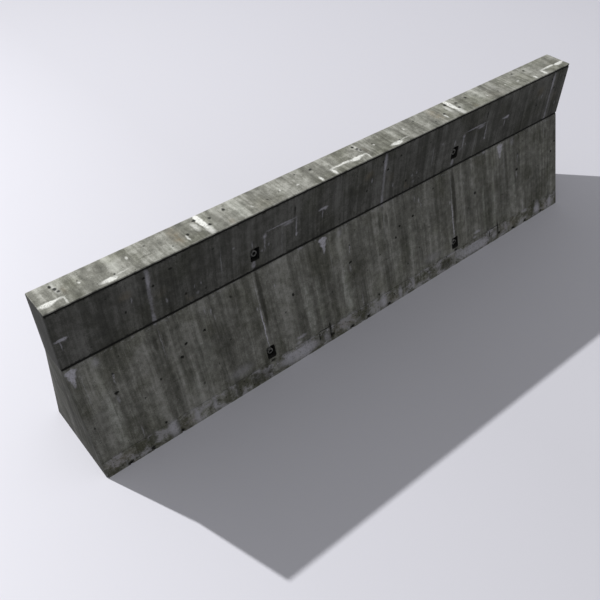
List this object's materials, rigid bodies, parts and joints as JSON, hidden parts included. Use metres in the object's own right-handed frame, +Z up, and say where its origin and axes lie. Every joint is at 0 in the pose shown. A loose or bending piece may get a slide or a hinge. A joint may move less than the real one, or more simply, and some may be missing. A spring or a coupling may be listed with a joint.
{
  "type": "concrete jersey barrier",
  "caption": "Precast concrete road barrier with a narrow waist, flared foot, shadow grooves, box-outs with tie sleeves through them, and a cast-in steel cage.",
  "frame": {"origin": "middle of the footprint, on the ground", "axes": "+X along the barrier to its right end, +Y from the traffic face to the back, +Z up"},
  "size_m": [2.967, 0.444, 0.813],
  "materials": {
    "concrete": "weathered, matte",
    "sleeve_plastic": "matte light grey",
    "rebar_steel": "hot-rolled, light rust"
  },
  "bodies": {
    "root": {"concrete_body": "concrete", "lower_sleeve_left": "sleeve_plastic", "lower_sleeve_right": "sleeve_plastic", "upper_sleeve_left": "sleeve_plastic", "upper_sleeve_right": "sleeve_plastic", "top_bar_front": "rebar_steel", "top_bar_back": "rebar_steel", "neck_bar_front": "rebar_steel", "neck_bar_back": "rebar_steel", "flank_bar_front": "rebar_steel", "flank_bar_back": "rebar_steel", "base_bar_front": "rebar_steel", "base_bar_back": "rebar_steel", "base_bar_centre": "rebar_steel", "stirrup_01": "rebar_steel", "stirrup_02": "rebar_steel", "stirrup_03": "rebar_steel", "stirrup_04": "rebar_steel", "stirrup_05": "rebar_steel", "stirrup_06": "rebar_steel", "stirrup_07": "rebar_steel", "stirrup_08": "rebar_steel", "stirrup_09": "rebar_steel", "stirrup_10": "rebar_steel", "base_tie_01": "rebar_steel", "base_tie_02": "rebar_steel", "base_tie_03": "rebar_steel", "base_tie_04": "rebar_steel", "base_tie_05": "rebar_steel", "base_tie_06": "rebar_steel", "base_tie_07": "rebar_steel", "base_tie_08": "rebar_steel", "base_tie_09": "rebar_steel", "base_tie_10": "rebar_steel"}
  },
  "joints": []
}
